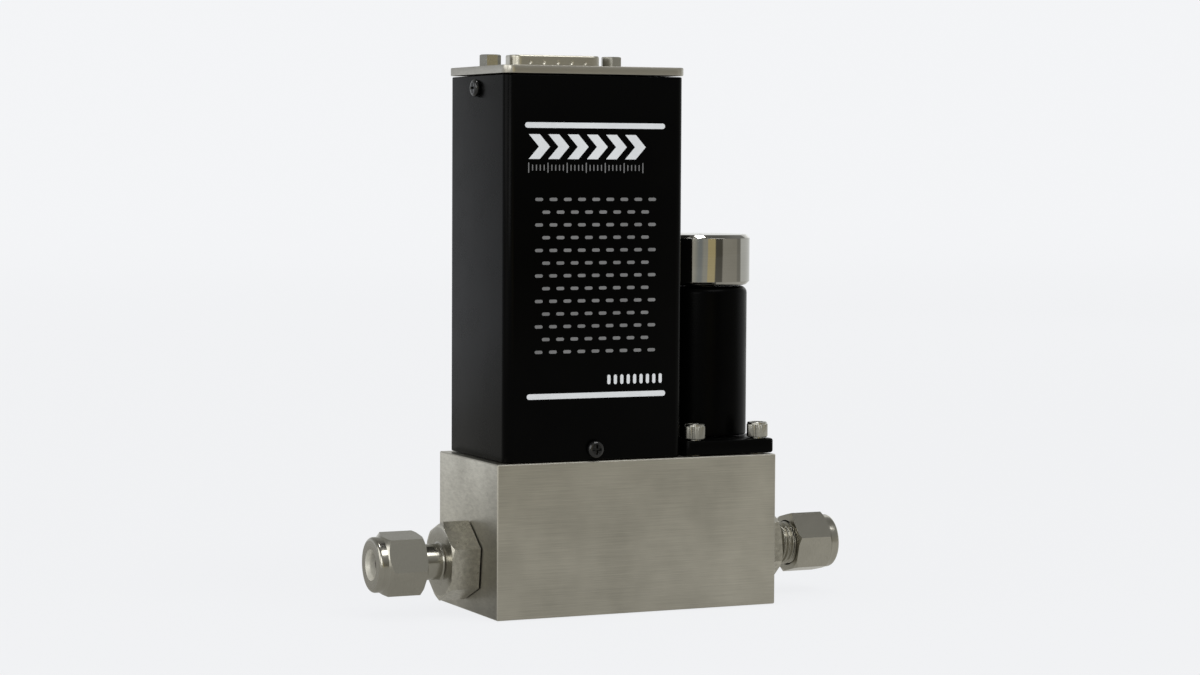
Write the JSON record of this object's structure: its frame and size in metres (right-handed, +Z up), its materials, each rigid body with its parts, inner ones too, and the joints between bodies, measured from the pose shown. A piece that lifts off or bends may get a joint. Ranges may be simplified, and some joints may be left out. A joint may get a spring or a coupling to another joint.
{
  "type": "mass flow controller",
  "caption": "Thermal gas mass flow controller: steel block with tube fittings, boxed flow sensor and electronics, multi-pin connector and a solenoid valve.",
  "frame": {"origin": "centre of the flow block's underside, which is the bottom centre of the bounding box", "axes": "+X along the gas flow from inlet to outlet, +Y away from the printed front of the cover, +Z up towards the connector"},
  "size_m": [0.1274, 0.0396, 0.1382],
  "materials": {
    "brushed_stainless": "stainless steel, fine brushed",
    "turned_stainless": "stainless steel, turned and milled",
    "polished_steel": "steel, mirror polished",
    "plated_steel": "steel, nickel plated",
    "black_satin_paint": "black satin coating",
    "blackened_steel": "black oxide",
    "satin_aluminium": "satin sheet or sintered disc",
    "black_plastic": "moulded, matt",
    "white_plastic": "moulded, matt",
    "green_board": "glass-fibre board with green lacquer",
    "copper_wire": "enamelled winding wire",
    "amber_coating": "varnished fine winding",
    "seal_rubber": "elastomer, matt"
  },
  "bodies": {
    "controller": {"body_block": "brushed_stainless", "flow_restrictor": "turned_stainless", "restrictor_seal": "seal_rubber", "inlet_filter_screen": "satin_aluminium", "inlet_adapter": "turned_stainless", "outlet_adapter": "turned_stainless", "inlet_port_seal": "seal_rubber", "outlet_port_seal": "seal_rubber", "inlet_tube_nut": "turned_stainless", "outlet_tube_nut": "turned_stainless", "inlet_front_ferrule": "turned_stainless", "outlet_front_ferrule": "turned_stainless", "inlet_back_ferrule": "turned_stainless", "outlet_back_ferrule": "turned_stainless", "sensor_base": "turned_stainless", "sensor_tube": "turned_stainless", "sensor_winding_upstream": "amber_coating", "sensor_winding_downstream": "amber_coating", "sensor_cover": "satin_aluminium", "sensor_seal_upstream": "seal_rubber", "sensor_seal_downstream": "seal_rubber", "sensor_screw_front": "turned_stainless", "sensor_screw_rear": "turned_stainless", "electronics_cover": "black_satin_paint", "top_plate": "brushed_stainless", "cover_bracket": "satin_aluminium", "bracket_screw_left": "turned_stainless", "bracket_screw_right": "turned_stainless", "cover_screw_left": "blackened_steel", "cover_screw_right": "blackened_steel", "cover_screw_front": "blackened_steel", "cover_screw_rear": "blackened_steel", "circuit_board": "green_board", "processor_chip": "black_plastic", "lead_socket": "white_plastic", "board_standoff": "turned_stainless", "board_screw": "turned_stainless", "connector_shell": "plated_steel", "connector_insert": "black_plastic", "jackscrew_left": "plated_steel", "jackscrew_right": "plated_steel", "valve_flange": "black_satin_paint", "flange_screw_1": "turned_stainless", "flange_screw_2": "turned_stainless", "flange_screw_3": "turned_stainless", "flange_screw_4": "turned_stainless", "valve_stem": "turned_stainless", "plunger_spring": "polished_steel", "valve_orifice": "turned_stainless", "orifice_seal": "seal_rubber", "stem_seal": "seal_rubber", "coil_bobbin": "black_plastic", "coil_winding": "copper_wire", "coil_housing": "black_satin_paint", "coil_nut": "polished_steel", "coil_lead": "seal_rubber", "coil_lead_grommet": "seal_rubber", "sensor_lead": "seal_rubber"},
    "plunger": {"valve_plunger": "polished_steel", "plunger_seat": "seal_rubber"}
  },
  "joints": [
    {"name": "valve_lift", "type": "slide", "parent": "controller", "child": "plunger", "axis": [0, 0, 1], "range_m": [0, 0.0004], "stiffness_N_per_m": 500, "springref_m": -0.003, "deforming": ["plunger_spring"]}
  ]
}
